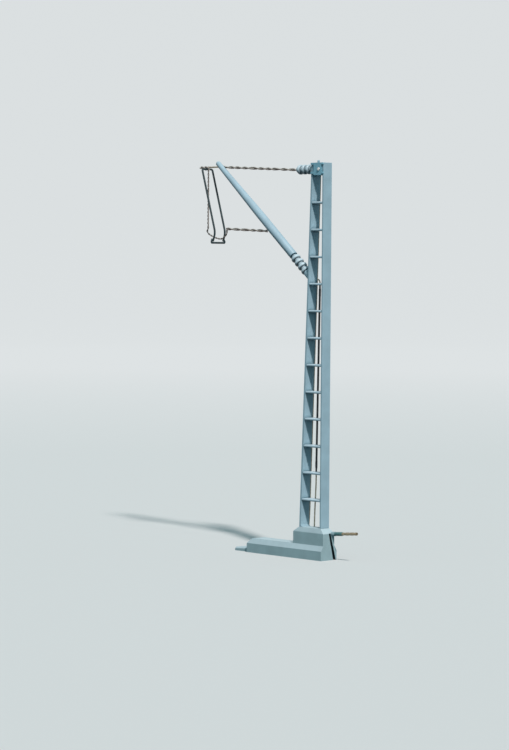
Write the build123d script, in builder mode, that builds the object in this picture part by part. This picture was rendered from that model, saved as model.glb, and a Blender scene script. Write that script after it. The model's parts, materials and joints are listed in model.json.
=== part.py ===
from build123d import *
import math
import os

# Railway catenary mast, H0 size: a moulded lattice post on a stepped base, with a boom, a tie
# rod and a steady arm that carry the hanger for the wires. Millimetres, +Z up. The track lies on
# the -X side and runs along Y. The origin is the centre of the base's underside.

# Base
foot_length = 26.5
foot_width = 5.3
foot_wall = 2.3
foot_bevel_height = 1.25
foot_bevel_end = 1.3
foot_end_radius = 0.8
block_length = 10.6
block_width = 3.8
block_wall = 2.95
block_bevel_height = 1.2
block_end_bevel = 1.35
tongue_length = 5.0
tongue_width = 4.0
tongue_root = 1.2
tongue_tip = 0.9
tongue_bevel = 0.35
slot_depth = 1.0
slot_top_width = 0.55
slot_bottom_width = 0.9
slot_top_y = 0.05
slot_bottom_y = 1.5

# Post
overall_height = 96.0
post_width = 2.8
post_depth_bottom = 7.6
post_depth_top = 4.25
wall_thickness = 0.5
root_fillet = 0.7
rung_count = 12
rung_thickness = 0.55
rung_nose = 0.2
first_rung_z = 14.05
top_bay = 6.9
head_height = 3.0
ledge_height = 0.5
ledge_depth = 0.3
ledge_rise = 0.3
boss_width = 2.6
boss_inset = 0.65
pin_radius = 0.4
pin_height = 0.35
pin_bevel = 0.15
pin_rise = 1.45
pin_inset = 0.75
nub_radius = 0.3
nub_height = 0.7
nub_inset = 1.05

# Insulators
shed_radius = 1.2
core_radius = 0.75
shed_base = 1.0
shed_rim = 0.4
insulator_bevel = 0.3
tie_drop = 1.5
tie_shed_count = 4
tie_root_gap = 0.05
tie_groove = 0.5
tie_end_gap = 0.35
boom_shed_count = 4
boom_root_gap = 0.1
boom_groove = 0.5
boom_end_gap = 0.3

# Boom
boom_angle = 39.7
boom_length = 36.75
boom_taper_start = 15.7
boom_radius_low = 1.03
boom_radius_tip = 0.62
tip_rise = 1.18
collar_radius = 1.0
collar_length = 2.1

# Wire fittings
strand = 0.35
strand_gap = 0.02
twist_length = 5.8
twist_steps = 8
wire_sides = 8
tie_rise = 1.4
tail_length = 2.8
frame_wire = 0.5
fine_wire = 0.4
clearance = 0.05
end_gap = 0.08
link_y = 0.8

# Hanger and what hangs on it
hanger_offset = 5.2
hanger_spread = 3.4
hanger_height = 15.5
hanger_lean = 4.9
hanger_bend = 0.5
hook_drop = 1.1
hook_length = 1.5
hook_reach = 0.6
dropper_bend = 0.35
steady_rise = 0.4
steady_drop = 0.6
bow_length = 7.0
bow_drop = 2.4
bow_start = 0.3
clip_half_length = 2.2
clip_lip = 0.9
clip_bend = 0.35

# Bow under the hanger: shares of its length, and of its drop above its lowest point
bow_shape = [(-0.04, 0.75), (0.09, 0.42), (0.47, 0.04), (0.77, 0.0), (1.0, 0.5)]

# Feeder inside the post
feed_wire = 0.34
suppressor_radius = 0.28
suppressor_low_z = 21.0
suppressor_drop = 1.8
suppressor_low_x = 5.0
suppressor_top_x = 4.2
lead_foot_x = 5.5
lead_rise = 0.8
lead_hook_rise = 1.4
lug_radius = 0.55
lug_length = 3.4
ferrule_radius = 0.38
ferrule_length = 5.0
lug_y = 1.25
lug_z = 6.35
lug_tilt = 4.5

# Places worked out from the sizes above
foot_top = foot_wall + foot_bevel_height
bevel_start_z = foot_top + block_wall
block_top = bevel_start_z + block_bevel_height
base_end_x = foot_length / 2
block_x = base_end_x - block_length / 2
rear_face_x = base_end_x - block_end_bevel
post_foot_x = rear_face_x - post_depth_bottom / 2
wall_lean = (post_depth_bottom - post_depth_top) / (overall_height - block_top)
head_z = overall_height - head_height
rung_pitch = (head_z - top_bay - first_rung_z) / (rung_count - 1)


def track_face_x(z):
    """Outer face of the inclined track-side wall at height z."""
    return rear_face_x - post_depth_bottom + wall_lean * (z - block_top)


def track_inner_x(z):
    return track_face_x(z) + wall_thickness


def bevel_z(y):
    """Height of the block's long bevels at a distance y from the middle."""
    share = (y - post_width / 2) / ((block_width - post_width) / 2)
    return block_top - block_bevel_height * share


def insulator_length(count, root_gap, groove, end_gap_length):
    return root_gap + count * shed_base + (count - 1) * groove + end_gap_length + insulator_bevel


def save(piece, name):
    piece.part.label = name
    export_step(piece.part, f"parts/{name}.step")


# The boom leans from the post to just above the tie rod, so its foot follows from its tip
tie_z = overall_height - tie_drop
tie_passing_z = tie_z + tie_rise
boom_slope = math.radians(boom_angle)
boom_direction = Vector(-math.cos(boom_slope), 0, math.sin(boom_slope))
boom_insulator_length = insulator_length(boom_shed_count, boom_root_gap, boom_groove, boom_end_gap)
boom_tube_start = collar_length + boom_insulator_length
boom_foot_z = tie_passing_z + tip_rise - (boom_tube_start + boom_length) * math.sin(boom_slope)
suppressor_top_z = boom_foot_z - suppressor_drop


def boom_point(distance):
    """A point on the boom's axis, measured from the face of the post."""
    return Vector(track_face_x(boom_foot_z), 0, boom_foot_z) + boom_direction * distance


def boom_at_height(z):
    return boom_point((z - boom_foot_z) / math.sin(boom_slope))


def bar(points, bend_radius, diameter):
    """A wire bent along straight runs joined by arcs."""
    with BuildPart() as piece:
        with BuildLine() as path:
            if len(points) > 2:
                FilletPolyline(*points, radius=bend_radius)
            else:
                Line(*points)
        with BuildSketch(Plane(origin=path.line @ 0, z_dir=path.line % 0)):
            RegularPolygon(diameter / 2, wire_sides)
        sweep(path=path.line)
    return piece


def twisted_pair(start, end, turn):
    """Two strands wound round each other between two points, each in short straight runs."""
    axis_line = end - start
    coil_plane = Plane(origin=start, z_dir=axis_line)
    coil_radius = (strand + strand_gap) / 2 / math.cos(math.pi / twist_steps)
    step_count = round(axis_line.length / turn * twist_steps)
    points = []
    for step in range(step_count + 1):
        angle = 2 * math.pi * step / twist_steps
        across = (coil_radius * math.cos(angle), coil_radius * math.sin(angle))
        points.append(coil_plane.from_local_coords((*across, axis_line.length * step / step_count)))
    with BuildPart() as piece:
        with BuildLine() as path:
            Polyline(*points)
        with BuildSketch(Plane(origin=path.line @ 0, z_dir=path.line % 0)):
            RegularPolygon(strand / 2, wire_sides)
        sweep(path=path.line, transition=Transition.RIGHT)
        first = piece.part
        add(first.rotate(Axis(start, axis_line), 180))
    return piece


def insulator(foot, direction, count, root_gap, groove, end_gap_length):
    """Ribbed insulator along a direction, revolved about its own axis."""
    length = insulator_length(count, root_gap, groove, end_gap_length)
    slope = (shed_base - shed_rim) / 2
    points = [(0, 0), (0, core_radius)]
    for number in range(count):
        low = root_gap + number * (shed_base + groove)
        points.append((low, core_radius))
        points.append((low + slope, shed_radius))
        points.append((low + slope + shed_rim, shed_radius))
        points.append((low + shed_base, core_radius))
    points.append((length - insulator_bevel, core_radius))
    points.append((length, core_radius - insulator_bevel))
    points.append((length, 0))
    with BuildPart() as piece:
        with BuildSketch(Plane(origin=foot, x_dir=direction, z_dir=(0, -1, 0))):
            with BuildLine():
                Polyline(*points, close=True)
            make_face()
        revolve(axis=Axis(foot, direction))
    return piece


def make_slot_cutter():
    """Slanted cable slot in the end face of the base, wider towards its foot."""
    with BuildPart() as cutter:
        with BuildSketch(Plane(origin=(base_end_x, 0, 0), x_dir=(0, 1, 0), z_dir=(1, 0, 0))):
            with BuildLine():
                Polyline(
                    (slot_top_y, bevel_start_z),
                    (slot_top_y + slot_top_width, bevel_start_z),
                    (slot_bottom_y + slot_bottom_width, 0),
                    (slot_bottom_y, 0),
                    close=True,
                )
            make_face()
        extrude(amount=-slot_depth)
    return cutter.part


def make_foot(slot):
    with BuildPart() as base_foot:
        with BuildSketch():
            Rectangle(foot_length, foot_width)
        extrude(amount=foot_wall)
        with BuildSketch(Plane.XY.offset(foot_wall)):
            Rectangle(foot_length, foot_width)
        with BuildSketch(Plane.XY.offset(foot_top)):
            with Locations((foot_bevel_end / 2, 0)):
                Rectangle(foot_length - foot_bevel_end, block_width)
        loft()
        cross_edges = base_foot.edges().filter_by(Axis.Y)
        raised_edges = cross_edges.filter_by_position(Axis.Z, foot_wall, foot_top)
        fillet(raised_edges.sort_by(Axis.X)[:2], foot_end_radius)
        add(slot, mode=Mode.SUBTRACT)
    return base_foot


def make_block(slot):
    with BuildPart() as base_block:
        with BuildSketch(Plane.XY.offset(foot_top)):
            with Locations((block_x, 0)):
                Rectangle(block_length, block_width)
        extrude(amount=block_wall)
        with BuildSketch(Plane.XY.offset(bevel_start_z)):
            with Locations((block_x, 0)):
                Rectangle(block_length, block_width)
        with BuildSketch(Plane.XY.offset(block_top)):
            with Locations((post_foot_x, 0)):
                Rectangle(post_depth_bottom, post_width)
        loft()
        add(slot, mode=Mode.SUBTRACT)
    return base_block


def make_tongue():
    root_x = -foot_length / 2
    with BuildPart() as track_tongue:
        with BuildSketch(Plane.XZ):
            with BuildLine():
                Polyline(
                    (root_x, 0),
                    (root_x, tongue_root),
                    (root_x - tongue_length, tongue_tip),
                    (root_x - tongue_length, 0),
                    close=True,
                )
            make_face()
        extrude(amount=tongue_width / 2, both=True)
        top_edges = track_tongue.faces().sort_by(Axis.Z)[-1].edges()
        chamfer(top_edges.filter_by(Axis.Y, reverse=True), tongue_bevel)
    return track_tongue


def make_track_side_wall():
    """Leaning wall with a rounded root on its inner side."""
    root_z = block_top + root_fillet
    root_start = (track_inner_x(root_z) + root_fillet, block_top)
    root_end = (track_inner_x(root_z), root_z)
    top_inner = (track_inner_x(overall_height), overall_height)
    top_outer = (track_face_x(overall_height), overall_height)
    low_outer = (track_face_x(block_top), block_top)
    with BuildPart() as track_side_wall:
        with BuildSketch(Plane.XZ):
            with BuildLine():
                Polyline(root_end, top_inner, top_outer, low_outer, root_start)
                RadiusArc(root_start, root_end, -root_fillet)
            make_face()
        extrude(amount=post_width / 2, both=True)
    return track_side_wall


def make_rear_wall():
    with BuildPart() as rear_wall:
        with BuildSketch(Plane.XY.offset(block_top)):
            with Locations((rear_face_x - wall_thickness / 2, 0)):
                Rectangle(wall_thickness, post_width)
        extrude(amount=overall_height - block_top)
    return rear_wall


def band_corners(low, high, inset):
    """Corners of a band across the post between two heights, set in from its outer faces."""
    return [
        (track_face_x(low) + inset, low),
        (rear_face_x - inset, low),
        (rear_face_x - inset, high),
        (track_face_x(high) + inset, high),
    ]


def make_web(low, high):
    """A web that fills the post between its two walls."""
    with BuildPart() as web:
        with BuildSketch(Plane.XZ):
            with BuildLine():
                Polyline(*band_corners(low, high, wall_thickness), close=True)
            make_face()
        extrude(amount=post_width / 2, both=True)
    return web.part


def make_rung(low):
    with BuildPart() as rung:
        add(make_web(low, low + rung_thickness))
        fillet(rung.edges().filter_by(Axis.X).group_by(Axis.Y)[0], rung_nose)
    return rung


def make_head_block(boss_x):
    """Head web with a boss on its front and two ledges that reach over the walls' edges."""
    with BuildPart() as head_block:
        add(make_web(head_z, overall_height))
        with BuildSketch(Plane.XZ.offset(post_width / 2)):
            for low in (head_z + ledge_rise, overall_height - ledge_height):
                with BuildLine():
                    Polyline(*band_corners(low, low + ledge_height, 0), close=True)
                make_face()
            with Locations((boss_x, head_z + head_height / 2)):
                Rectangle(boss_width, head_height)
        extrude(amount=ledge_depth)
    return head_block


def make_collar():
    """Round foot of the boom, cut flush with the leaning wall."""
    wall_plane = Plane(origin=boom_point(0), z_dir=(-1, 0, wall_lean))
    with BuildPart() as boom_bracket:
        with BuildSketch(Plane(origin=boom_point(collar_length), z_dir=-boom_direction)):
            Circle(collar_radius)
        extrude(amount=collar_length + 2 * collar_radius)
        split(bisect_by=wall_plane, keep=Keep.TOP)
    return boom_bracket


def make_boom():
    """Tube that tapers towards its rounded tip."""
    foot = boom_point(boom_tube_start)
    shoulder = boom_length - boom_radius_tip
    with BuildPart() as boom_tube:
        with BuildSketch(Plane(origin=foot, x_dir=boom_direction, z_dir=(0, -1, 0))):
            with BuildLine():
                Polyline(
                    (boom_length, 0),
                    (0, 0),
                    (0, boom_radius_low),
                    (boom_taper_start, boom_radius_low),
                    (shoulder, boom_radius_tip),
                )
                RadiusArc((shoulder, boom_radius_tip), (boom_length, 0), boom_radius_tip)
            make_face()
        revolve(axis=Axis(foot, boom_direction))
    return boom_tube


os.makedirs("parts", exist_ok=True)

slot_cutter = make_slot_cutter()
save(make_foot(slot_cutter), "base_foot")
save(make_block(slot_cutter), "base_block")
save(make_tongue(), "track_tongue")
save(make_track_side_wall(), "track_side_wall")
save(make_rear_wall(), "rear_wall")
for number in range(rung_count):
    save(make_rung(first_rung_z + number * rung_pitch), f"rung_{number + 1:02d}")

# Head with its screw on the boss and the small nub on its top
boss_end_x = rear_face_x - boss_inset
save(make_head_block(boss_end_x - boss_width / 2), "head_block")
boss_front = Plane.XZ.offset(post_width / 2 + ledge_depth)
with BuildPart() as head_pin:
    with BuildSketch(boss_front):
        with Locations((boss_end_x - pin_inset, head_z + pin_rise)):
            Circle(pin_radius)
    extrude(amount=pin_height)
    chamfer(head_pin.edges().group_by(Axis.Y)[0], pin_bevel)
save(head_pin, "head_pin")
with BuildPart() as head_nub:
    with BuildSketch(Plane.XY.offset(overall_height)):
        with Locations((track_face_x(overall_height) + nub_inset, 0)):
            Circle(nub_radius)
    extrude(amount=nub_height)
save(head_nub, "head_nub")

# Boom with its collar and insulator
save(make_collar(), "boom_bracket")
boom_insulator = insulator(
    boom_point(collar_length),
    boom_direction,
    boom_shed_count,
    boom_root_gap,
    boom_groove,
    boom_end_gap,
)
save(boom_insulator, "boom_insulator")
save(make_boom(), "boom_tube")

# Tie rod from its insulator past the back of the boom's tip, with a link and tail to the hanger
tie_foot = Vector(track_face_x(tie_z - shed_radius), 0, tie_z)
tie_insulator = insulator(
    tie_foot, Vector(-1, 0, 0), tie_shed_count, tie_root_gap, tie_groove, tie_end_gap
)
save(tie_insulator, "tie_insulator")
tie_insulator_length = insulator_length(tie_shed_count, tie_root_gap, tie_groove, tie_end_gap)
tie_start = tie_foot - Vector(tie_insulator_length + end_gap, 0, 0)
boom_pass = boom_at_height(tie_passing_z)
tie_end = Vector(
    boom_pass.X - boom_radius_tip * 2,
    boom_radius_tip + strand + clearance * 2,
    tie_passing_z,
)
save(twisted_pair(tie_start, tie_end, twist_length), "tie_rod")
hanger_top_x = boom_pass.X - hanger_offset
link_start = tie_end - Vector(end_gap, 0, 0)
link_end = Vector(hanger_top_x - frame_wire, link_y, tie_passing_z)
save(bar([link_start, link_end], 0, fine_wire), "tie_link")
tail_start = link_end - Vector(end_gap, 0, 0)
tail_end = tail_start - Vector(tail_length, 0, 0)
save(twisted_pair(tail_start, tail_end, twist_length / 2), "tie_tail")

# Hanger: one bent wire with two leaning legs and a hook at the foot of each
crosspiece_z = tie_passing_z - (fine_wire + frame_wire) / 2 - clearance
hanger_foot_x = hanger_top_x + hanger_lean
hanger_foot_z = crosspiece_z - hanger_height
hook_x = hanger_foot_x - hook_reach
hook_end_z = hanger_foot_z - hook_drop - hook_length
half_spread = hanger_spread / 2
front_leg = [
    Vector(hook_x, -half_spread, hook_end_z),
    Vector(hanger_foot_x, -half_spread, hanger_foot_z - hook_drop),
    Vector(hanger_foot_x, -half_spread, hanger_foot_z),
    Vector(hanger_top_x, -half_spread, crosspiece_z),
]
rear_leg = [Vector(point.X, half_spread, point.Z) for point in reversed(front_leg)]
save(bar(front_leg + rear_leg, hanger_bend, frame_wire), "hanger_frame")

# Dropper: hooked over the hanger, straight down, and bowed under to the steady arm
hook_offset = (frame_wire + fine_wire) / 2 + clearance
dropper_x = hanger_top_x + hook_offset
steady_z = hanger_foot_z + steady_rise
steady_start_x = dropper_x + bow_length
bow_low_z = steady_z - bow_drop
dropper_points = [
    (hanger_top_x - hook_offset, 0, crosspiece_z - hook_offset / 2),
    (hanger_top_x - hook_offset, 0, crosspiece_z + hook_offset),
    (dropper_x, 0, crosspiece_z + hook_offset),
    (dropper_x, 0, steady_z + bow_start),
]
for along, above in bow_shape:
    dropper_points.append((dropper_x + bow_length * along, 0, bow_low_z + bow_drop * above))
dropper_points.append((steady_start_x, 0, steady_z + fine_wire / 2))
save(bar(dropper_points, dropper_bend, fine_wire), "dropper")

# Steady arm, from the dropper to the boom
steady_end_z = steady_z - steady_drop
steady_stop = (boom_radius_low + strand) / math.sin(boom_slope) + clearance
steady_end = Vector(boom_at_height(steady_end_z).X - steady_stop, 0, steady_end_z)
arm_start = Vector(steady_start_x + fine_wire / 2 + end_gap, 0, steady_z)
save(twisted_pair(arm_start, steady_end, twist_length), "steady_arm")

# Clip under the two hooks, which holds the contact wire
clip_bar_z = hook_end_z - frame_wire
clip_points = [
    (hook_x, -clip_half_length, clip_bar_z + clip_lip),
    (hook_x, -clip_half_length, clip_bar_z),
    (hook_x, clip_half_length, clip_bar_z),
    (hook_x, clip_half_length, clip_bar_z + clip_lip),
]
save(bar(clip_points, clip_bend, frame_wire), "contact_clip")

# Feed wire, suppressor and its leads along the back of the post
feed_y = post_width / 2 + feed_wire / 2 + clearance
feed_low_z = bevel_z(feed_y - feed_wire / 2) + clearance
feed_top_z = head_z + head_height / 2
feed_points = [
    (track_face_x(feed_low_z) + feed_wire / 2, feed_y, feed_low_z),
    (track_face_x(feed_top_z) + feed_wire / 2, feed_y, feed_top_z),
]
save(bar(feed_points, 0, feed_wire), "feed_wire")

suppressor_y = post_width / 2 + suppressor_radius + clearance
suppressor_low = (rear_face_x - suppressor_low_x, suppressor_y, suppressor_low_z)
suppressor_top = (rear_face_x - suppressor_top_x, suppressor_y, suppressor_top_z)
save(bar([suppressor_low, suppressor_top], 0, suppressor_radius * 2), "suppressor")
lead_foot_z = bevel_z(suppressor_y - feed_wire / 2) + clearance
low_lead_points = [
    (rear_face_x - lead_foot_x, suppressor_y, lead_foot_z),
    (rear_face_x - suppressor_low_x, suppressor_y, suppressor_low_z - clearance),
]
save(bar(low_lead_points, 0, feed_wire), "suppressor_low_lead")
lead_hook_z = suppressor_top_z + lead_hook_rise
lead_hook_x = track_face_x(lead_hook_z) + feed_wire * 1.5 + clearance
top_lead_points = [
    (rear_face_x - suppressor_top_x, suppressor_y, suppressor_top_z + clearance),
    (rear_face_x - suppressor_top_x, suppressor_y, suppressor_top_z + lead_rise),
    (lead_hook_x, suppressor_y, lead_hook_z),
]
save(bar(top_lead_points, feed_wire, feed_wire), "suppressor_top_lead")

# Feeder lug and ferrule on the end of the base, which point a little upwards
lug_foot = Vector(base_end_x, lug_y, lug_z)
lug_direction = Vector(1, 0, 0).rotate(Axis.Y, -lug_tilt)
lug_end = lug_foot + lug_direction * lug_length
with BuildPart() as feeder_lug:
    with BuildSketch(Plane(origin=lug_end, z_dir=-lug_direction)):
        Circle(lug_radius)
    extrude(amount=lug_length + lug_radius)
    split(bisect_by=Plane(origin=lug_foot, z_dir=(1, 0, 0)), keep=Keep.TOP)
save(feeder_lug, "feeder_lug")
with BuildPart() as feeder_ferrule:
    with BuildSketch(Plane(origin=lug_end, z_dir=lug_direction)):
        Circle(ferrule_radius)
    extrude(amount=ferrule_length)
save(feeder_ferrule, "feeder_ferrule")
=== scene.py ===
import json
import math
from collections import namedtuple

import bmesh
import bpy
from mathutils import Matrix, Vector


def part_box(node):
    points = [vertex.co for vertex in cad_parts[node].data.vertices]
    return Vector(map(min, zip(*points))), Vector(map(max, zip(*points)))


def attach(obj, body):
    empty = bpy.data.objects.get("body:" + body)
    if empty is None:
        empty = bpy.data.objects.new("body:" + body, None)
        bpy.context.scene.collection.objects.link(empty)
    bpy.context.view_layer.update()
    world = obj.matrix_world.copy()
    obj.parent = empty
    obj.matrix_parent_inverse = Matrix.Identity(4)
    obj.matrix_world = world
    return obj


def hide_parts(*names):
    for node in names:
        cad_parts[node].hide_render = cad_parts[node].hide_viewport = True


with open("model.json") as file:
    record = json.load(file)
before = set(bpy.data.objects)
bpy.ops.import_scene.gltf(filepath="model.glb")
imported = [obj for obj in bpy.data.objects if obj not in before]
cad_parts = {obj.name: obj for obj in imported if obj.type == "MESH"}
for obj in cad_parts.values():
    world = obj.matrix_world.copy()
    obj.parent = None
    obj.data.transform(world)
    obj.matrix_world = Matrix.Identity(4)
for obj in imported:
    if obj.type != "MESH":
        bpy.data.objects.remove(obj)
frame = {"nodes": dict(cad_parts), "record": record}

# Looks of the model railway catenary mast, in the frame's axes: -X towards the track, +Y along it
# and +Z up. Sizes are in millimetres unless their heading says metres. MM turns them into metres.
# X and Z number the axes.
MM = 0.001
BODY = "root"
X, Z = 0, 2
Place = namedtuple("Place", "x y z")
nodes = frame["nodes"]
slots = {subpart["node"]: subpart["material_slot"] for subpart in frame["record"]["subparts"]}
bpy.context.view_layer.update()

# Camera, in millimetres and degrees, at the angle from which the mast was photographed
CAMERA_PLACE = (462.19, -438.23, 70.39)
CAMERA_AZIMUTH = 47.357
CAMERA_PITCH = 2.3405
CAMERA_ROLL = -0.39
CAMERA_LENS = 125.0
CAMERA_NEAR = 10.0

# Light: a soft high sun to the right of the camera, so many degrees wide, and a cool sky
SUN_DIRECTION = (1.6, -0.75, 1.95)
SUN_STRENGTH = 2.85
SUN_ANGLE = 4.0
SKY_HIGH = (0.18, 0.31, 0.35)
SKY_LOW = (0.03, 0.09, 0.115)
HORIZON_SOFTNESS = 0.15
FLOOR_COLOUR = (0.735, 0.70, 0.68)
BACKDROP_COLOUR = (0.70, 0.735, 0.745)

# Stage, in metres: a round floor that curves up into a wall and fades into the backdrop's colour
FLOOR_RADIUS = 1.6
COVE_RADIUS = 0.9
COVE_STEPS = 16
WALL_TOP = 2.4
STAGE_SIDES = 96
FADE_START = 0.35
FADE_END = 1.2

# Plastics: shade is their own colour, and deep the painted shade in their recesses and on their undersides.
# Tops get painted light towards a pale tint, and undersides painted shade towards deep, by the shares given
BLACK = (0.0, 0.0, 0.0)
# Pale tint towards which tops are lightened: painted light
TOP_LIGHT_TINT = (0.80, 0.84, 0.91)
PLASTICS = {
    "base_plastic": dict(shade=(0.37, 0.49, 0.51), deep=(0.05, 0.12, 0.14), roughness=0.5, top_light=0.25),
    "post_plastic": dict(shade=(0.365, 0.50, 0.565), deep=(0.01, 0.09, 0.12), roughness=0.45),
    # The head's plastic is a bluer, darker copy of the post's: painted shade of its front
    "head_plastic": dict(shade=(0.26, 0.50, 0.60), deep=(0.01, 0.09, 0.12), roughness=0.4),
    # The rungs' plastic is a lighter copy of the post's: painted highlight and top light
    "rung_plastic": dict(
        shade=(0.57, 0.69, 0.76), deep=(0.01, 0.10, 0.13), roughness=0.4, top_light=0.15, under=0.7,
    ),
    "boom_plastic": dict(
        shade=(0.40, 0.525, 0.595), deep=(0.01, 0.10, 0.14), roughness=0.4, gloss=0.5, under=0.85,
    ),
    "insulator_plastic": dict(
        shade=(0.58, 0.68, 0.73), deep=(0.0, 0.03, 0.05), roughness=0.34, gloss=0.6,
        reach=1.4, shut=0.5, under=0.85,
    ),
}

# Wires and metals: shade is their skin, and worn the colour where it has rubbed off
WIRES = {
    "pin_metal": dict(shade=(0.75, 0.78, 0.78), worn=(0.95, 0.95, 0.93), roughness=0.3, metallic=0.85),
    "wire_metal": dict(shade=(0.008, 0.03, 0.035), worn=(0.06, 0.10, 0.11), roughness=0.38, metallic=0.1),
    "tan_wire": dict(
        shade=(0.36, 0.29, 0.2), worn=(0.68, 0.6, 0.48), roughness=0.34, metallic=0.7, cover=0.5,
    ),
    "copper_wire": dict(
        shade=(0.52, 0.42, 0.30), worn=(0.68, 0.58, 0.44), roughness=0.42, metallic=0.4, cover=0.5,
    ),
    "ferrule_metal": dict(shade=(0.42, 0.33, 0.22), worn=(0.66, 0.56, 0.42), roughness=0.38, metallic=0.7),
}
# Twisted strands: the first colour is their tops with painted light, the second their undersides, rust-brown
# with painted shade, and the groove colour painted shade where they cross
CROSSING_SHADE = (0.005, 0.045, 0.06)
STRANDS = {
    "twisted_wire": dict(lit_top=(0.56, 0.51, 0.45), under=(0.11, 0.045, 0.028), groove=CROSSING_SHADE),
    "dropper_wire": dict(lit_top=(0.40, 0.35, 0.31), under=(0.07, 0.035, 0.025), groove=CROSSING_SHADE),
}

# Dark skins, and the plastic collar and rubber sleeve of the lug
# The near-black inside of the cable slot, and the suppressor's body
DARK_SKINS = {"slot_black": (0.004, 0.02, 0.025), "suppressor_body": (0.035, 0.033, 0.036)}
COLLAR_SHADE = (0.30, 0.42, 0.45)
SLEEVE_SHADE = (0.10, 0.24, 0.24)
COLLAR_BLEND = 0.02

# Shader steps: sockets of the Mix node for colours, samples, and how the cosine between the rounded
# and the true normal tells an edge, lightened as wear and as painted highlight, from a flat surface
MIX_SHARE, MIX_FIRST, MIX_SECOND = 0, 6, 7
MIX_RESULT = 2
CORNER_SAMPLES = 8
EDGE_SAMPLES = 6
EDGE_LIGHTENED = 0.7
EDGE_FLAT = 0.98

# Moulded edges, with angles in degrees
BASE_EDGE = 0.12
TONGUE_EDGE = 0.1
WALL_EDGE = 0.07
REAR_WALL_EDGE = 0.09
RUNG_EDGE = 0.18
HEAD_EDGE = 0.05
BRACKET_EDGE = 0.06
ROOT_RADIUS = 0.7
EDGE_STEPS = 3
EDGE_ANGLE = 20.0
ROUND_PROFILE = 0.5
SMOOTH_ANGLE = 40.0
FLAT_ANGLE = 0.5
MERGE_DISTANCE = 0.0005
PLANE_TOLERANCE = 0.02

# Cable slot in the end of the base, which slants and widens downwards. Its near-black paint reaches so
# far out from its floor, and by a margin over its sides
SLOT_FLOOR_X = 12.25
SLOT_BLACK_REACH = 0.85
SLOT_TOP_Z = 6.5
SLOT_TOP_Y = 0.05
SLOT_BOTTOM_Y = 1.5
SLOT_TOP_WIDTH = 0.55
SLOT_BOTTOM_WIDTH = 0.9
SLOT_MARGIN = 0.06

# Turned forms. An outline lists (distance along the axis, radius)
LATHE_SIDES = 56
BOOM_SIDES = 64
SMALL_SIDES = 40
SUPPRESSOR_SIDES = 28

# Pin on the head's boss and nub on its top
PIN_RADIUS = 0.4
PIN_OUTLINE = [
    (0, 0.368), (0.03, PIN_RADIUS), (0.14, PIN_RADIUS), (0.2, 0.375), (0.26, 0.31), (0.31, 0.22),
    (0.34, 0.12), (0.35, 0.03),
]
NUB_RADIUS = 0.3
NUB_OUTLINE = [(0, NUB_RADIUS), (0.42, NUB_RADIUS), (0.54, 0.285), (0.62, 0.23), (0.67, 0.15), (0.7, 0.04)]

# Insulators: the core, the sheds on it and how round their rims and hollow their flanks are
CORE_RADIUS = 0.75
CORE_LIP = 0.03
CORE_LIP_SHARE = 0.96
CORE_END_DROP = 0.06
SHED_COUNT = 4
SHED_RADIUS = 1.2
SHED_BASE = 1.0
SHED_GROOVE = 0.5
SHED_STEPS = 9
SHED_RIM = 3.2
SHED_FLANK = 0.8
INSULATOR_BEVEL = 0.3
TIE_ROOT_GAP = 0.05
TIE_END_GAP = 0.35
BOOM_ROOT_GAP = 0.1
BOOM_END_GAP = 0.3

# Boom, whose lip lists (distance from its foot, how far inside the radius)
BOOM_ANGLE = math.radians(39.7)
BOOM_LENGTH = 36.75
BOOM_TAPER_START = 15.7
BOOM_EASE = 3
BOOM_RADIUS_LOW = 1.03
BOOM_RADIUS_TIP = 0.62
BOOM_LIP = ((0, 0.08), (0.03, 0.03), (0.1, 0))
BOOM_STEPS = 30
TIP_STEPS = 12

# Wires, whose nose lists (share of its length, share of the radius), with the length in radii
TUBE_SIDES = 14
WIRE_NOSE = ((0.0, 0.35), (0.3, 0.75), (0.65, 0.95))
NOSE_LENGTH = 0.6
FRAME_WIRE = 0.5
FINE_WIRE = 0.4
FEED_WIRE = 0.34

# Routes. A bend takes no more than its share of a run
BEND_SHARE = 0.49
BEND_STEPS = 7
CURVE_STEPS = 8

# Twisted strands. The twist wavers by so many radians, at so many radians a millimetre
STRAND = 0.35
STRAND_GAP = 0.02
ROD_RADIUS = (STRAND * 2 + STRAND_GAP) / 2
TWIST_LENGTH = 5.8
TAIL_TWIST = TWIST_LENGTH / 2
FINE_STRAND = 0.21
FINE_TWIST = 1.9
STEPS_PER_TURN = 28
TWIST_WAVER = ((0.35, 0.55), (0.2, 1.3))

# Hanger, dropper and clip. The dropper's bow lists shares of its length and of its drop
HANGER_HEIGHT = 15.5
HANGER_BEND = 0.5
HOOK_DROP = 1.1
HOOK_LENGTH = 1.5
HOOK_REACH = 0.6
DROPPER_HOOK = 0.75
DROPPER_RUN = 2
DROPPER_BEND_STEPS = 12
BOW_LENGTH = 7.0
BOW_DROP = 2.4
BOW_START = 0.3
BOW_LEAD = 1
BOW_SHAPE = [(-0.04, 0.75), (0.09, 0.42), (0.47, 0.04), (0.77, 0.0), (1.0, 0.5)]
CLIP_HALF_LENGTH = 2.2
CLIP_BEND = 0.35
CLIP_SIDE = 0.35
CLIP_LIP = 0.9
CLIP_CURL_IN = 0.25
CLIP_CURL_BACK = 0.12

# Wires up the post, whose bends list (distance in from the side, distance from the end)
FEED_FOOT_BEND = (0.3, 2.5)
FEED_HEAD_BEND = (0.1, 4)
LEAD_FOOT_BEND = (0.05, 3)
LEAD_HEAD_BEND = (0, 2.5)
LAID_BEND = 2
LEAD_RISE = 0.8
LEAD_BEND = 0.4

# Suppressor, with half of its outline
SUPPRESSOR_RADIUS = 0.28
SUPPRESSOR_HALF = [
    (0, 0.13), (0.04, 0.19), (0.16, 0.22), (0.9, 0.225), (1.0, 0.27), (1.15, SUPPRESSOR_RADIUS),
    (2.6, SUPPRESSOR_RADIUS), (2.75, 0.255),
]

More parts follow.
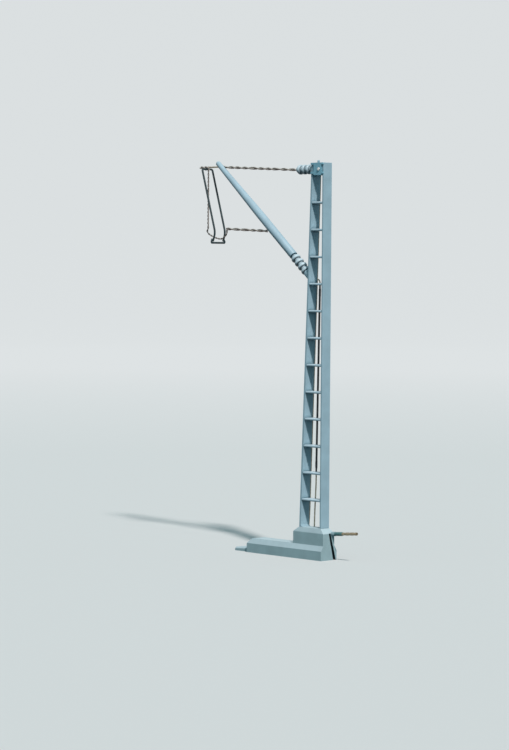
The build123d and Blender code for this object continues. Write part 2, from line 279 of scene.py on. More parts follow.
# Lug: a collar and the sleeve that comes out of it
LUG_TILT = math.radians(4.5)
LUG_RADIUS = 0.55
LUG_LENGTH = 3.4
COLLAR_LENGTH = 1.0
SLEEVE_RADIUS = 0.49
LUG_OUTLINE = [
    (-0.05, LUG_RADIUS), (COLLAR_LENGTH - 0.08, LUG_RADIUS), (COLLAR_LENGTH - 0.02, LUG_RADIUS - 0.03),
    (COLLAR_LENGTH, SLEEVE_RADIUS - 0.03), (COLLAR_LENGTH + 0.04, SLEEVE_RADIUS),
    (2.4, SLEEVE_RADIUS - 0.015), (LUG_LENGTH - 0.2, SLEEVE_RADIUS),
    (LUG_LENGTH - 0.06, SLEEVE_RADIUS - 0.02), (LUG_LENGTH, SLEEVE_RADIUS - 0.08),
]

# Ferrule, with the shape of a crimp as (shift, depth) and its open end measured from its length
FERRULE_RADIUS = 0.38
FERRULE_LENGTH = 5.0
FERRULE_FOOT = (0, FERRULE_RADIUS - 0.02)
FERRULE_END = [(-0.06, FERRULE_RADIUS), (0, FERRULE_RADIUS - 0.05), (0, 0.25), (-0.5, 0.23)]
CRIMP_PLACES = (0.9, 2.5, 4.1)
CRIMP_SHAPE = ((-0.35, 0), (-0.2, 0.03), (-0.08, 0.06), (0.08, 0.06), (0.2, 0.03), (0.35, 0))


def scaled(colour, share):
    """The colour at a share of its brightness, with no part over 1."""
    return tuple(min(1, part * share) for part in colour)


class Graph:
    """A node tree under construction. Each helper adds a step and returns what comes out of it."""

    def __init__(self, tree):
        self.tree = tree

    def feed(self, socket, value):
        """Links an output to a socket, or sets the socket to a colour or a number."""
        if isinstance(value, bpy.types.NodeSocket):
            self.tree.links.new(value, socket)
        elif isinstance(value, tuple):
            socket.default_value = (*value, 1)
        else:
            socket.default_value = value

    def add(self, kind, **values):
        """A new node, with values for the sockets of these names."""
        node = self.tree.nodes.new("ShaderNode" + kind)
        for name, value in values.items():
            self.feed(node.inputs[name.replace("_", " ")], value)
        return node

    def axis(self, vector, name):
        return self.add("SeparateXYZ", Vector=vector).outputs[name]

    def remap(self, source, first, last, low=0.3, high=0.7, easing="LINEAR"):
        """Runs from first to last while its source runs from low to high."""
        node = self.add("MapRange", Value=source, From_Min=low, From_Max=high, To_Min=first, To_Max=last)
        node.interpolation_type = easing
        return node.outputs[0]

    def mix(self, share, first, second):
        """The first colour where share is 0, and the second where it is 1."""
        node = self.add("Mix")
        node.data_type = "RGBA"
        self.feed(node.inputs[MIX_SHARE], share)
        self.feed(node.inputs[MIX_FIRST], first)
        self.feed(node.inputs[MIX_SECOND], second)
        return node.outputs[MIX_RESULT]

    def largest(self, first, second):
        node = self.add("Math")
        node.operation = "MAXIMUM"
        self.feed(node.inputs[0], first)
        self.feed(node.inputs[1], second)
        return node.outputs[0]


class Finish(Graph):
    """A material under construction, round its own shader."""

    def __init__(self, name):
        self.material = bpy.data.materials.new(name)
        self.material.use_nodes = True
        super().__init__(self.material.node_tree)
        self.shader = self.tree.nodes["Principled BSDF"]
        self.place = self.add("TexCoord").outputs["Object"]

    def shade(self, **values):
        """Gives values to the shader's sockets and returns the material."""
        for name, value in values.items():
            self.feed(self.shader.inputs[name.replace("_", " ")], value)
        return self.material

    def noise(self, grain, detail=3):
        """Noise whose grains are about so large. The mapping makes them finer than the noise can."""
        mapped = self.add("Mapping", Vector=self.place, Scale=[1 / (grain * MM)] * 3)
        return self.add("TexNoise", Vector=mapped.outputs[0], Scale=1, Detail=detail).outputs[0]

    def cloudy(self, colour, grain, dark, light=1.0, low=0.3, high=0.7):
        """A colour in clouds of about this size, between two shares of its brightness."""
        ramp = self.add("ValToRGB", Fac=self.noise(grain, detail=4))
        for element, position, share in zip(ramp.color_ramp.elements, (low, high), (dark, light)):
            element.position = position
            element.color = (*scaled(colour, share), 1)
        return ramp.outputs[0]

    def uneven(self, grain, low, high):
        """A number that wanders between two values."""
        return self.remap(self.noise(grain), low, high)

    def relief(self, grain, depth, strength, detail=3):
        """The normal of a finely grained surface."""
        return self.add(
            "Bump", Height=self.noise(grain, detail), Distance=depth * MM, Strength=strength
        ).outputs[0]

    def recesses(self, reach, shut, open_at, most):
        """0 on open surfaces, rising to the most in recesses within reach: the mask of painted shade."""
        node = self.add("AmbientOcclusion", Distance=reach * MM)
        node.samples = CORNER_SAMPLES
        return self.remap(node.outputs["AO"], most, 0.0, shut, open_at)

    def edges(self, reach):
        """0 on flat surfaces, rising to 1 on edges of about this radius: the mask of edge wear and painted
        highlight.
        """
        rounded = self.add("Bevel", Radius=reach * MM)
        rounded.samples = EDGE_SAMPLES
        cosine = self.add("VectorMath")
        cosine.operation = "DOT_PRODUCT"
        self.feed(cosine.inputs[0], rounded.outputs[0])
        self.feed(cosine.inputs[1], self.add("NewGeometry").outputs["True Normal"])
        return self.remap(cosine.outputs["Value"], 1.0, 0.0, EDGE_LIGHTENED, EDGE_FLAT)

    def facing_up(self, low, high, first=0.0, last=1.0):
        """Runs from first to last while the normal's rise runs from low to high."""
        rise = self.axis(self.add("NewGeometry").outputs["Normal"], "Z")
        return self.remap(rise, first, last, low, high)

    def past(self, axis, place, margin):
        """0 before a place on an axis and 1 past it."""
        return self.remap(
            self.axis(self.place, axis), 0.0, 1.0, (place - margin) * MM, (place + margin) * MM
        )

    def distance(self, near, far):
        """0 near the origin and 1 beyond a distance, in metres."""
        length = self.add("VectorMath")
        length.operation = "LENGTH"
        self.feed(length.inputs[0], self.place)
        return self.remap(length.outputs["Value"], 0.0, 1.0, near, far)


def moulded_plastic(name, shade, deep, roughness, gloss=0.4, reach=0.9, shut=0.25, top_light=0.0, under=0.0):
    """Injection-moulded plastic: cloudy pigment, matt grain, edges lightened by wear and by a painted
    highlight, painted light on tops, and painted shade in recesses and on undersides.

    Recesses within reach get painted shade once they are open by no more than shut. The last two
    arguments say how much painted light lightens tops and painted shade darkens undersides.
    """
    finish = Finish(name)
    clouds = finish.cloudy(shade, grain=3.5, dark=0.93, light=1.06, low=0.35, high=0.65)
    specks = finish.remap(finish.noise(grain=0.18, detail=2), first=0.0, last=0.35, low=0.55, high=0.75)
    grained = finish.mix(specks, clouds, scaled(shade, share=0.9))
    # Edges lighter: partly wear, partly a painted highlight
    rubbed = finish.mix(finish.edges(reach=0.12), grained, scaled(shade, share=1.22))
    # Tops lightened towards a pale tint: painted light
    topped = finish.mix(finish.facing_up(low=0.1, high=0.4, last=top_light), rubbed, TOP_LIGHT_TINT)
    # Undersides darkened towards deep: painted shade
    turned = finish.mix(finish.facing_up(low=-0.6, high=0.05, first=under, last=0.0), topped, deep)
    # Recesses darkened towards deep: painted shade
    recess_shade = finish.recesses(reach, shut, open_at=0.95, most=0.85)
    return finish.shade(
        Base_Color=finish.mix(recess_shade, turned, deep),
        Roughness=finish.uneven(grain=0.7, low=roughness - 0.07, high=roughness + 0.09),
        Specular_IOR_Level=gloss,
        Normal=finish.relief(grain=0.09, depth=0.006, strength=0.35),
    )


def drawn_wire(name, shade, worn, roughness, metallic, cover=0.62):
    """Drawn wire whose skin has worn off in patches. cover says how much of the skin is left."""
    finish = Finish(name)
    patches = finish.remap(
        finish.noise(grain=0.35, detail=5), first=0.0, last=0.8, low=cover - 0.06, high=cover + 0.1
    )
    return finish.shade(
        Base_Color=finish.mix(patches, finish.cloudy(shade, grain=0.6, dark=0.7), worn),
        Metallic=metallic,
        Roughness=finish.uneven(grain=0.25, low=roughness - 0.1, high=roughness + 0.14),
        Normal=finish.relief(grain=0.06, depth=0.004, strength=0.4, detail=2),
    )


def twisted_strands(name, lit_top, under, groove):
    """Steel strands: a lit top colour as painted light, a rust-brown underside that is also painted shade,
    and painted shade where they cross.
    """
    finish = Finish(name)
    steel = finish.cloudy(lit_top, grain=0.5, dark=0.6, high=0.65)
    # Painted light on tops and painted shade on undersides
    turned = finish.mix(finish.facing_up(low=-0.2, high=0.35), under, steel)
    # Painted shade where the strands cross
    shaded_crossings = finish.recesses(reach=0.16, shut=0.45, open_at=0.9, most=0.9)
    return finish.shade(
        Base_Color=finish.mix(shaded_crossings, turned, groove),
        Metallic=0.35,
        Roughness=finish.uneven(grain=0.25, low=0.28, high=0.5),
        Normal=finish.relief(grain=0.06, depth=0.003, strength=0.3, detail=2),
    )


def dark_skin(name, shade):
    """A dull dark surface: a sleeve of rubber, or the near-black inside of the cable slot."""
    finish = Finish(name)
    return finish.shade(
        Base_Color=finish.cloudy(shade, grain=0.8, dark=0.75),
        Roughness=finish.uneven(grain=0.3, low=0.42, high=0.62),
        Normal=finish.relief(grain=0.12, depth=0.006, strength=0.4),
    )


def lug_skin(name):
    """The plastic collar of the lug, and the rubber sleeve that comes out of it."""
    finish = Finish(name)
    collar_end = box_mm("feeder_lug")[0].x + COLLAR_LENGTH
    collar = finish.cloudy(COLLAR_SHADE, grain=0.7, dark=0.8)
    sleeve = finish.cloudy(SLEEVE_SHADE, grain=0.5, dark=0.7)
    return finish.shade(
        Base_Color=finish.mix(finish.past("X", collar_end, COLLAR_BLEND), collar, sleeve),
        Roughness=finish.uneven(grain=0.3, low=0.35, high=0.55),
        Normal=finish.relief(grain=0.12, depth=0.006, strength=0.4),
    )


def stage_paper():
    """Pale paper that fades with the distance into the backdrop's own colour, which needs no light."""
    finish = Finish("stage_paper")
    faded = finish.distance(FADE_START, FADE_END)
    paper = finish.shade(
        Base_Color=finish.mix(faded, FLOOR_COLOUR, BLACK),
        Roughness=0.9,
        Specular_IOR_Level=0.1,
        Emission_Color=BACKDROP_COLOUR,
        Emission_Strength=faded,
    )
    paper.cycles.emission_sampling = "NONE"
    return paper


def make_materials():
    """All materials of the mast by name. Those of the slots bear the slots' names."""
    made = {name: moulded_plastic(name, **look) for name, look in PLASTICS.items()}
    made.update({name: drawn_wire(name, **look) for name, look in WIRES.items()})
    made.update({name: twisted_strands(name, **look) for name, look in STRANDS.items()})
    made.update({name: dark_skin(name, shade) for name, shade in DARK_SKINS.items()})
    made["lug_plastic"] = lug_skin("lug_plastic")
    return made


def add_object(name, data):
    made = bpy.data.objects.new(name, data)
    bpy.context.scene.collection.objects.link(made)
    return made


def make_camera():
    azimuth, pitch, roll = (math.radians(v) for v in (CAMERA_AZIMUTH, CAMERA_PITCH, CAMERA_ROLL))
    forward = Vector((
        -math.sin(azimuth) * math.cos(pitch),
        math.cos(azimuth) * math.cos(pitch),
        -math.sin(pitch),
    ))
    level_right = Vector((math.cos(azimuth), math.sin(azimuth), 0))
    level_up = level_right.cross(forward)
    right = level_right * math.cos(roll) - level_up * math.sin(roll)
    up = right.cross(forward)
    data = bpy.data.cameras.new("camera")
    data.lens = CAMERA_LENS
    data.clip_start = CAMERA_NEAR * MM
    camera = add_object("camera", data)
    turn = Matrix((right, up, -forward)).transposed().to_4x4()
    camera.matrix_world = Matrix.Translation(Vector(CAMERA_PLACE) * MM) @ turn
    bpy.context.scene.camera = camera


def make_sun():
    data = bpy.data.lights.new("sun", "SUN")
    data.energy = SUN_STRENGTH
    data.angle = math.radians(SUN_ANGLE)
    sun = add_object("sun", data)
    sun.rotation_euler = Vector(SUN_DIRECTION).to_track_quat("Z", "Y").to_euler()


def make_world():
    """Soft sky for the light, and the backdrop's colour for what looks past the stage."""
    world = bpy.data.worlds.new("sky")
    world.use_nodes = True
    sky = Graph(world.node_tree)
    sky.tree.nodes.clear()
    height = sky.axis(sky.add("TexCoord").outputs["Generated"], "Z")
    above = sky.remap(height, 0.0, 1.0, -HORIZON_SOFTNESS, HORIZON_SOFTNESS, "SMOOTHSTEP")
    light = sky.add("Background", Color=sky.mix(above, SKY_LOW, SKY_HIGH))
    pale = sky.add("Background", Color=BACKDROP_COLOUR)
    rays = sky.add("LightPath").outputs
    in_gloss_or_glass = sky.largest(rays["Is Glossy Ray"], rays["Is Transmission Ray"])
    shown = sky.add("MixShader", Fac=sky.largest(rays["Is Camera Ray"], in_gloss_or_glass))
    sky.feed(shown.inputs[1], light.outputs[0])
    sky.feed(shown.inputs[2], pale.outputs[0])
    sky.add("OutputWorld", Surface=shown.outputs[0])
    bpy.context.scene.world = world


def make_stage():
    """A round pale floor that curves up into the backdrop on every side."""
    outline = [(FLOOR_RADIUS, 0)]
    for step in range(1, COVE_STEPS + 1):
        angle = math.pi / 2 * step / COVE_STEPS
        outline.append((FLOOR_RADIUS + COVE_RADIUS * math.sin(angle), COVE_RADIUS * (1 - math.cos(angle))))
    outline.append((FLOOR_RADIUS + COVE_RADIUS, WALL_TOP))
    side, up = Vector((1, 0, 0)), Vector((0, 1, 0))
    work = bmesh.new()
    rings = [
        add_ring(work, Vector((0, 0, height)), side, up, radius, STAGE_SIDES) for radius, height in outline
    ]
    work.faces.new(rings[0])
    join_rings(work, rings)
    mesh = to_mesh("stage_floor", work)
    mesh.materials.append(stage_paper())
    stage = add_object("stage_floor", mesh)
    stage.visible_shadow = False
    stage.visible_diffuse = False


def box_mm(node):
    """The low and the high corner of a CAD node's box, in millimetres."""
    return tuple(Place(*(corner / MM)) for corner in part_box(node))


def middle(node):
    """The middle of a CAD node's box, in millimetres."""
    low, high = box_mm(node)
    return Place(*((a + b) / 2 for a, b in zip(low, high)))


def low_plane(node, axis):
    """The plane in which a CAD node starts on an axis, for moulded's held."""
    return axis, box_mm(node)[0][axis]


def to_mesh(name, work):
    """A mesh with normals that agree, smooth but for its sharp edges."""
    bmesh.ops.recalc_face_normals(work, faces=work.faces)
    mesh = bpy.data.meshes.new(name)
    work.to_mesh(mesh)
    work.free()
    for polygon in mesh.polygons:
        polygon.use_smooth = True
    mesh.set_sharp_from_angle(angle=math.radians(SMOOTH_ANGLE))
    return mesh


def place_piece(node, look, work, material=None):
    """Puts a finished form into the scene in place of the CAD node that it stands for."""
    mesh = to_mesh(f"{node}_{look}", work)
    piece = add_object(mesh.name, mesh)
    mesh.materials.clear()
    mesh.materials.append(materials[material or slots[node]])
    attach(piece, BODY)
    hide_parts(node)
    return piece


def weigh_normals(mesh):
    """Shades rounded edges so that they run into their large neighbours, which stay flat."""
    around = [[] for _ in mesh.vertices]
    for polygon in mesh.polygons:
        for vertex in polygon.vertices:
            around[vertex].append(polygon)
    least = math.cos(math.radians(SMOOTH_ANGLE))
    normals = [Vector()] * len(mesh.loops)
    for polygon in mesh.polygons:
        for loop in polygon.loop_indices:
            near = [p for p in around[mesh.loops[loop].vertex_index] if p.normal.dot(polygon.normal) > least]
            normals[loop] = sum((p.normal * p.area for p in near), Vector()).normalized()
    mesh.normals_split_custom_set(normals)


def is_rounded(edge, held):
    """Whether an edge is sharp in the CAD and lies in none of the planes where it stays so."""
    if not edge.is_manifold or edge.calc_face_angle() <= math.radians(EDGE_ANGLE):
        return False
    return not any(
        all(abs(vert.co[axis] - place * MM) < PLANE_TOLERANCE * MM for vert in edge.verts)
        for axis, place in held
    )


def moulded(node, radius, held=(), material=None, reshape=None):
    """The CAD node's form with its free edges rounded as in a mould.

    held lists planes as (axis, place in millimetres). Edges in them stay sharp, because the piece
    goes on there into its neighbour. reshape changes the form before its edges are rounded.
    """
    work = bmesh.new()
    work.from_mesh(nodes[node].data)
    bmesh.ops.remove_doubles(work, verts=work.verts, dist=MERGE_DISTANCE * MM)
    if reshape:
        reshape(work)
    bmesh.ops.dissolve_limit(
        work, angle_limit=math.radians(FLAT_ANGLE), verts=work.verts, edges=work.edges
    )
    bmesh.ops.bevel(
        work, geom=[edge for edge in work.edges if is_rounded(edge, held)], offset=radius * MM,
        offset_type="OFFSET", segments=EDGE_STEPS, profile=ROUND_PROFILE, affect="EDGES",
        clamp_overlap=True,
    )
    bmesh.ops.dissolve_degenerate(work, dist=MERGE_DISTANCE * MM, edges=work.edges)
    piece = place_piece(node, "moulded", work, material)
    weigh_normals(piece.data)
    return piece


def hollow_root(work):
    """Turns the quarter-round at the foot of the track-side wall into a hollow fillet."""
    radius = ROOT_RADIUS * MM
    low = min(vert.co.z for vert in work.verts)
    inner = max(vert.co.x for vert in work.verts if vert.co.z < low + PLANE_TOLERANCE * MM) - radius
    for vert in work.verts:
        out, up = vert.co.x - inner, vert.co.z - low
        if 0 < out < radius and 0 < up < radius:
            vert.co.x = inner + radius - up
            vert.co.z = low + radius - out


def blacken_slot(piece):
    """Gives the faces inside the cable slot a near-black material."""
    piece.data.materials.append(materials["slot_black"])
    for polygon in piece.data.polygons:
        centre = polygon.center / MM
        low_share = 1 - centre.z / SLOT_TOP_Z
        near = SLOT_TOP_Y + (SLOT_BOTTOM_Y - SLOT_TOP_Y) * low_share - SLOT_MARGIN
        far = near + SLOT_TOP_WIDTH + (SLOT_BOTTOM_WIDTH - SLOT_TOP_WIDTH) * low_share + 2 * SLOT_MARGIN
        inside = SLOT_FLOOR_X - SLOT_MARGIN < centre.x < SLOT_FLOOR_X + SLOT_BLACK_REACH and near < centre.y < far
        if inside and centre.z < SLOT_TOP_Z:
            polygon.material_index = 1


def add_ring(work, centre, side, up, radius, sides):
    ring = []
    for corner in range(sides):
        angle = 2 * math.pi * corner / sides
        ring.append(work.verts.new(centre + (side * math.cos(angle) + up * math.sin(angle)) * radius))
    return ring


def join_rings(work, rings):
    """Skins the sides between rings of vertices."""
    for low, high in zip(rings, rings[1:]):
        for corner in range(len(low)):
            after = (corner + 1) % len(low)
            work.faces.new((low[corner], low[after], high[after], high[corner]))


def close_rings(work, rings):
    """Skins rings of vertices and closes both ends."""
    join_rings(work, rings)
    work.faces.new(reversed(rings[0]))
    work.faces.new(rings[-1])


def lathe_piece(node, look, foot, direction, outline, sides=LATHE_SIDES):
    """A turned form on an axis that starts at its foot."""
    foot, direction = Vector(foot), Vector(direction).normalized()
    side = direction.orthogonal().normalized()
    up = direction.cross(side)
    work = bmesh.new()
    close_rings(work, [
        add_ring(work, (foot + direction * along) * MM, side, up, radius * MM, sides)
        for along, radius in outline
    ])
    return place_piece(node, look, work)


def frames_along(points):
    """Point, side, up and direction at each point of a path, turned as little as possible."""
    directions = []
    for number in range(len(points)):
        before = points[max(number - 1, 0)]
        after = points[min(number + 1, len(points) - 1)]
        directions.append((after - before).normalized())
    side = directions[0].orthogonal().normalized()
    frames = []
    for point, direction in zip(points, directions):
        side = (side - direction * side.dot(direction)).normalized()
        frames.append((point, side, direction.cross(side), direction))
    return frames


def add_tube(work, points, radius):
    """A round wire along a path, with a rounded nose at each end."""
    frames = frames_along(points)
    stations = [(frames[0], (share - 1) * NOSE_LENGTH, width) for share, width in WIRE_NOSE]
    stations += [(here, 0, 1) for here in frames]
    stations += [(frames[-1], (1 - share) * NOSE_LENGTH, width) for share, width in reversed(WIRE_NOSE)]
    close_rings(work, [
        add_ring(work, point + direction * shift * radius, side, up, radius * width, TUBE_SIDES)
        for (point, side, up, direction), shift, width in stations
    ])


def rounded_route(corners, bend, steps=BEND_STEPS):
    """Points along straight runs, with each corner rounded off."""
    corners = [Vector(corner) for corner in corners]
    points = [corners[0]]
    for before, corner, after in zip(corners, corners[1:], corners[2:]):
        reach = min(bend, (corner - before).length * BEND_SHARE, (after - corner).length * BEND_SHARE)
        start = corner + (before - corner).normalized() * reach
        end = corner + (after - corner).normalized() * reach
        for step in range(steps + 1):
            share = step / steps
            points.append(start * (1 - share) ** 2 + corner * 2 * share * (1 - share) + end * share**2)
    points.append(corners[-1])
    return points


def smooth_route(corners):
    """Points on a smooth curve through the corners."""
    corners = [Vector(corner) for corner in corners]
    padded = [corners[0] * 2 - corners[1]] + corners + [corners[-1] * 2 - corners[-2]]
    points = []
    for a, b, c, d in zip(padded, padded[1:], padded[2:], padded[3:]):
        for step in range(CURVE_STEPS):
            t = step / CURVE_STEPS
            square = (a * 2 - b * 5 + c * 4 - d) * t**2
            cube = (b * 3 - a - c * 3 + d) * t**3
            points.append((b * 2 + (c - a) * t + square + cube) / 2)
    points.append(corners[-1])
    return points


def even_steps(points, spacing):
    """The same path in steps of about equal length, and how long it is."""
    lengths = [0.0]
    for before, after in zip(points, points[1:]):
        lengths.append(lengths[-1] + (after - before).length)
    count = round(lengths[-1] / spacing)
    even, segment = [], 0
    for step in range(count + 1):
        wanted = lengths[-1] * step / count
        while segment < len(points) - 2 and lengths[segment + 1] < wanted:
            segment += 1
        run = lengths[segment + 1] - lengths[segment]
        even.append(points[segment].lerp(points[segment + 1], (wanted - lengths[segment]) / run))
    return even, lengths[-1]


def wire_piece(node, look, routes, diameter, material=None):
    """Round wires along routes in millimetres."""
    work = bmesh.new()
    for route in routes:
        add_tube(work, [Vector(point) * MM for point in route], diameter / 2 * MM)
    return place_piece(node, look, work, material)


def twisted_piece(node, points, strand, turn, material="twisted_wire"):
    """Two strands wound round each other along a path, of slightly uneven tightness."""
    even, length = even_steps([Vector(point) for point in points], turn / STEPS_PER_TURN)
    coil = (strand + STRAND_GAP) / 2
    routes = [[], []]
    for number, (point, side, up, _) in enumerate(frames_along(even)):
        along = length * number / (len(even) - 1)
        waver = sum(swing * math.sin(along * pace) for swing, pace in TWIST_WAVER)
        angle = 2 * math.pi * along / turn + waver
        around = (side * math.cos(angle) + up * math.sin(angle)) * coil
        routes[0].append(point + around)
        routes[1].append(point - around)
    return wire_piece(node, "twisted", routes, strand, material)


def dress_base():
    """Foot, block and tongue, with the inside of the cable slot near-black in the first two."""
    blacken_slot(moulded("base_foot", BASE_EDGE, [low_plane("base_foot", Z)]))
    blacken_slot(moulded("base_block", BASE_EDGE, [low_plane("base_block", Z)]))
    moulded("track_tongue", TONGUE_EDGE, [low_plane("base_foot", X), low_plane("base_foot", Z)])


def dress_post():
    """Walls, rungs, head and the bracket of the boom."""
    moulded("track_side_wall", WALL_EDGE, [low_plane("track_side_wall", Z)], reshape=hollow_root)
    moulded("rear_wall", REAR_WALL_EDGE, [low_plane("rear_wall", Z)])
    for node in sorted(nodes):
        if node.startswith("rung_"):
            moulded(node, RUNG_EDGE, [low_plane("rear_wall", X)], "rung_plastic")
    moulded("head_block", HEAD_EDGE, material="head_plastic")
    moulded("boom_bracket", BRACKET_EDGE)


def dress_pin_and_nub():
    """The domed pin on the head's boss, and the rounded nub on its top."""
    pin, nub = middle("head_pin"), middle("head_nub")
    pin_back = box_mm("head_pin")[1].y
    nub_foot = box_mm("head_nub")[0].z
    lathe_piece("head_pin", "domed", (pin.x, pin_back, pin.z), (0, -1, 0), PIN_OUTLINE, SMALL_SIDES)
    lathe_piece("head_nub", "rounded", (nub.x, 0, nub_foot), (0, 0, 1), NUB_OUTLINE, SMALL_SIDES)


def insulator_length(root_gap, end_gap):
    """From the root to where the bevel at the end starts."""
    return root_gap + SHED_COUNT * SHED_BASE + (SHED_COUNT - 1) * SHED_GROOVE + end_gap


def insulator_outline(root_gap, end_gap):
    """Sheds with rounded rims, hollow flanks and grooves between them."""
    outline = [(0, CORE_RADIUS * CORE_LIP_SHARE), (CORE_LIP, CORE_RADIUS)]
    for number in range(SHED_COUNT):
        shed_middle = root_gap + SHED_BASE / 2 + number * (SHED_BASE + SHED_GROOVE)
        for step in range(-SHED_STEPS, SHED_STEPS + 1):
            share = step / SHED_STEPS
            rise = (1 - abs(share) ** SHED_RIM) ** SHED_FLANK
            along = shed_middle + share * SHED_BASE / 2
            outline.append((along, CORE_RADIUS + (SHED_RADIUS - CORE_RADIUS) * rise))
    length = insulator_length(root_gap, end_gap)
    outline += [(length, CORE_RADIUS), (length + INSULATOR_BEVEL / 2, CORE_RADIUS - CORE_END_DROP)]
    outline.append((length + INSULATOR_BEVEL, CORE_RADIUS - INSULATOR_BEVEL))
    return outline


def dress_tie_insulator():
    foot_x = box_mm("tie_insulator")[1].x
    outline = insulator_outline(TIE_ROOT_GAP, TIE_END_GAP)
    lathe_piece("tie_insulator", "ribbed", (foot_x, 0, middle("tie_insulator").z), (-1, 0, 0), outline)


def boom_outline():
    """Straight tube that goes over smoothly into its taper and ends in a round tip."""
    outline = [(along, BOOM_RADIUS_LOW - drop) for along, drop in BOOM_LIP]
    shoulder = BOOM_LENGTH - BOOM_RADIUS_TIP
    for step in range(BOOM_STEPS + 1):
        along = BOOM_TAPER_START - BOOM_EASE + (shoulder - BOOM_TAPER_START + BOOM_EASE) * step / BOOM_STEPS
        past = along - BOOM_TAPER_START
        eased = past if past > BOOM_EASE else (past + BOOM_EASE) ** 2 / (4 * BOOM_EASE)
        share = eased / (shoulder - BOOM_TAPER_START)
        outline.append((along, BOOM_RADIUS_LOW + (BOOM_RADIUS_TIP - BOOM_RADIUS_LOW) * share))
    for step in range(1, TIP_STEPS):
        angle = math.pi / 2 * step / TIP_STEPS
        outline.append((shoulder + BOOM_RADIUS_TIP * math.sin(angle), BOOM_RADIUS_TIP * math.cos(angle)))
    return outline


def dress_boom():
    """The boom, and the insulator behind its foot."""
    low, high = box_mm("boom_tube")
    direction = Vector((-math.cos(BOOM_ANGLE), 0, math.sin(BOOM_ANGLE)))
    foot = Vector((
        high.x - BOOM_RADIUS_LOW * math.sin(BOOM_ANGLE),
        0,
        low.z + BOOM_RADIUS_LOW * math.cos(BOOM_ANGLE),
    ))
    lathe_piece("boom_tube", "turned", foot, direction, boom_outline(), BOOM_SIDES)
    root = foot - direction * (insulator_length(BOOM_ROOT_GAP, BOOM_END_GAP) + INSULATOR_BEVEL)
    outline = insulator_outline(BOOM_ROOT_GAP, BOOM_END_GAP)
    lathe_piece("boom_insulator", "ribbed", root, direction, outline)


def tie_rod_end():
    """The end of the tie rod's axis over the track."""
    low, high = box_mm("tie_rod")
    return Place(low.x, high.y - ROD_RADIUS, high.z - ROD_RADIUS)


def dress_tie():
    """The twisted tie rod, and the tail of its wires beyond the link."""
    rod_start = (box_mm("tie_rod")[1].x, 0, middle("tie_insulator").z)
    twisted_piece("tie_rod", [rod_start, tie_rod_end()], STRAND, TWIST_LENGTH)
    low, high = box_mm("tie_tail")
    y, z = middle("tie_tail").y, tie_rod_end().z
    twisted_piece("tie_tail", [(high.x, y, z), (low.x, y, z)], STRAND, TAIL_TWIST)


def dress_steady_arm():
    low, high = box_mm("steady_arm")
    points = [(low.x, 0, high.z - ROD_RADIUS), (high.x, 0, low.z + ROD_RADIUS)]
    twisted_piece("steady_arm", points, STRAND, TWIST_LENGTH)


def dress_hanger_frame():
    """Two leaning legs with hooked feet and a crosspiece over them, bent from one wire."""
    low, high = box_mm("hanger_frame")
    spread = high.y - FRAME_WIRE / 2
    top_x, top_z = low.x + FRAME_WIRE / 2, high.z - FRAME_WIRE / 2
    foot_x, foot_z = high.x - FRAME_WIRE / 2, top_z - HANGER_HEIGHT
    front_leg = [
        (foot_x - HOOK_REACH, -spread, foot_z - HOOK_DROP - HOOK_LENGTH),
        (foot_x, -spread, foot_z - HOOK_DROP),
        (foot_x, -spread, foot_z),
        (top_x, -spread, top_z),
    ]
    rear_leg = [(x, spread, z) for x, _, z in reversed(front_leg)]
    wire_piece("hanger_frame", "bent", [rounded_route(front_leg + rear_leg, HANGER_BEND)], FRAME_WIRE)


def dress_tie_link():
    """The short wire between the tie rod and its tail."""
    start = tie_rod_end()
    end = (box_mm("tie_tail")[1].x, middle("tie_tail").y, start.z)
    wire_piece("tie_link", "wire", [[start, end]], FINE_WIRE, "tan_wire")


def dress_dropper():
    """A hook at the top, a straight run down and the bow under the hanger."""
    low, high = box_mm("dropper")
    x = high.x - FINE_WIRE / 2 - BOW_LENGTH
    hook_x, hook_z = low.x + FINE_WIRE / 2, high.z - FINE_WIRE / 2
    bow_z = low.z + FINE_WIRE / 2
    hook = [
        (hook_x, 0, hook_z - DROPPER_HOOK),
        (hook_x, 0, hook_z),
        (x, 0, hook_z),
        (x, 0, hook_z - DROPPER_RUN),
    ]
    bow = [(x, 0, bow_z + BOW_DROP + BOW_START + BOW_LEAD), (x, 0, bow_z + BOW_DROP + BOW_START)]
    bow += [(x + BOW_LENGTH * along, 0, bow_z + BOW_DROP * above) for along, above in BOW_SHAPE]
    bow.append((x + BOW_LENGTH, 0, bow_z + BOW_DROP + FINE_WIRE / 2))
    route = rounded_route(hook, HANGER_BEND, DROPPER_BEND_STEPS) + smooth_route(bow)
    twisted_piece("dropper", route, FINE_STRAND, FINE_TWIST, "dropper_wire")


def dress_contact_clip():
    """A bar along the contact wire, whose ends rise and curl in."""
    x, z = middle("contact_clip").x, box_mm("contact_clip")[0].z + FRAME_WIRE / 2
    front = [
        (x - CLIP_CURL_BACK, -CLIP_HALF_LENGTH + CLIP_CURL_IN, z + CLIP_LIP),
        (x, -CLIP_HALF_LENGTH, z + CLIP_SIDE),
        (x, -CLIP_HALF_LENGTH, z),
    ]
    rear = [(x, -y, z) for x, y, z in reversed(front)]
    wire_piece("contact_clip", "bent", [rounded_route(front + rear, CLIP_BEND)], FRAME_WIRE)


def lay_wire(node, y, foot_bend, head_bend):
    """A wire up the post that lies in two soft bends."""
    low, high = box_mm(node)
    foot_in, foot_up = foot_bend
    head_in, head_down = head_bend
    corners = [
        (low.x + FEED_WIRE / 2, y, low.z),
        (low.x + foot_in + FEED_WIRE / 2, y, low.z + foot_up),
        (high.x - head_in - FEED_WIRE / 2, y, high.z - head_down),
        (high.x - FEED_WIRE / 2, y, high.z),
    ]
    wire_piece(node, "laid", [rounded_route(corners, LAID_BEND)], FEED_WIRE)


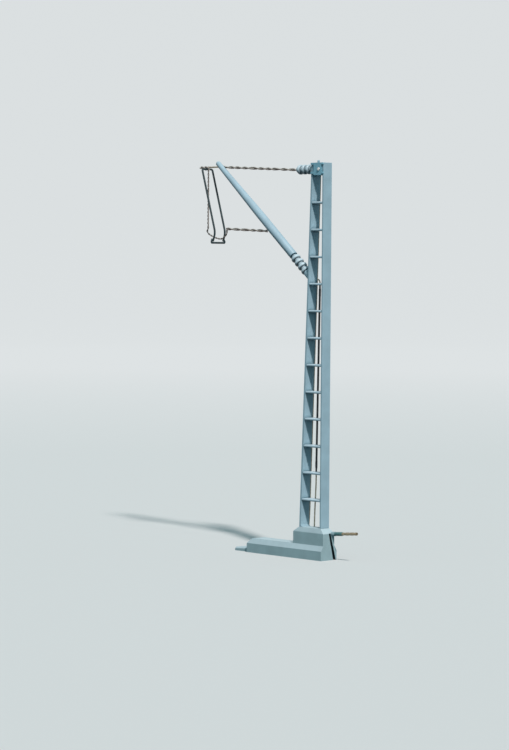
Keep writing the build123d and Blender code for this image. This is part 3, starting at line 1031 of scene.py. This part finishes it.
def dress_suppressor():
    """The slim suppressor with sleeved ends, and the leads below and above it."""
    y = middle("suppressor").y
    low, high = box_mm("suppressor")
    foot = Vector((low.x + SUPPRESSOR_RADIUS, y, low.z))
    axis = Vector((high.x - SUPPRESSOR_RADIUS, y, high.z)) - foot
    outline = SUPPRESSOR_HALF + [(axis.length - along, radius) for along, radius in reversed(SUPPRESSOR_HALF)]
    lathe_piece("suppressor", "sleeved", foot, axis, outline, SUPPRESSOR_SIDES)
    lay_wire("suppressor_low_lead", y, LEAD_FOOT_BEND, LEAD_HEAD_BEND)
    low, high = box_mm("suppressor_top_lead")
    x = high.x - FEED_WIRE / 2
    corners = [
        (x, y, low.z),
        (x, y, low.z + LEAD_RISE),
        (low.x + FEED_WIRE / 2, y, high.z - FEED_WIRE / 2),
    ]
    wire_piece("suppressor_top_lead", "bent", [rounded_route(corners, LEAD_BEND)], FEED_WIRE)


def ferrule_outline():
    """A tube with crimped grooves and an open end."""
    outline = [FERRULE_FOOT]
    for place in CRIMP_PLACES:
        outline += [(place + shift, FERRULE_RADIUS - depth) for shift, depth in CRIMP_SHAPE]
    return outline + [(FERRULE_LENGTH + shift, radius) for shift, radius in FERRULE_END]


def dress_feeder():
    """The sleeved lug and the crimped ferrule on the end of the base."""
    low = box_mm("feeder_lug")[0]
    direction = Vector((math.cos(LUG_TILT), 0, math.sin(LUG_TILT)))
    foot = Vector((low.x, middle("feeder_lug").y, low.z + LUG_RADIUS / math.cos(LUG_TILT)))
    tip = foot + direction * LUG_LENGTH
    lathe_piece("feeder_lug", "sleeved", foot, direction, LUG_OUTLINE)
    lathe_piece("feeder_ferrule", "crimped", tip, direction, ferrule_outline(), SMALL_SIDES)


def dress_cad_nodes():
    """Gives the CAD's own meshes the materials of their slots."""
    for node, slot in slots.items():
        mesh = nodes[node].data
        mesh.materials.clear()
        mesh.materials.append(materials[slot])


materials = make_materials()
dress_base()
dress_post()
dress_pin_and_nub()
dress_tie_insulator()
dress_boom()
dress_tie()
dress_steady_arm()
dress_hanger_frame()
dress_tie_link()
dress_dropper()
dress_contact_clip()
lay_wire("feed_wire", middle("feed_wire").y, FEED_FOOT_BEND, FEED_HEAD_BEND)
dress_suppressor()
dress_feeder()
make_camera()
make_sun()
make_world()
make_stage()
dress_cad_nodes()

bpy.context.scene.view_settings.view_transform = "Standard"
